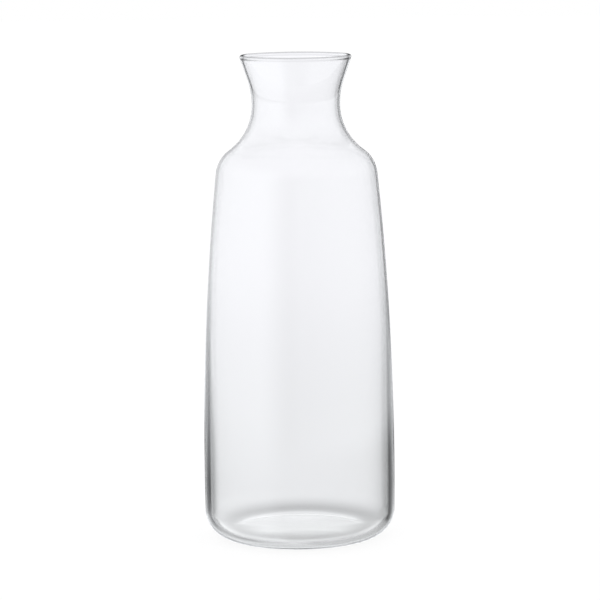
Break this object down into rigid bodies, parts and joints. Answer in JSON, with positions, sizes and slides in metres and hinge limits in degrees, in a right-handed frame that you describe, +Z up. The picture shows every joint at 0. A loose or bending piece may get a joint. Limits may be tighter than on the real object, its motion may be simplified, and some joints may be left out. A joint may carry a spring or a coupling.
{
  "type": "glass carafe",
  "caption": "Tall clear glass carafe without a handle: tapered round body, sloping shoulder, waisted neck and flared mouth, for keeping and pouring drinks at the table.",
  "frame": {"origin": "centre of the foot ring, on the plane that the carafe stands on", "axes": "+Z up along the carafe's axis, from the foot to the mouth; X and Y are alike, because the carafe is round"},
  "size_m": [0.1, 0.1, 0.253],
  "materials": {
    "clear_glass": "polished clear glass, faintly green-grey where it is seen through its thickness"
  },
  "bodies": {
    "root": {"glass_body": "clear_glass"}
  },
  "joints": []
}
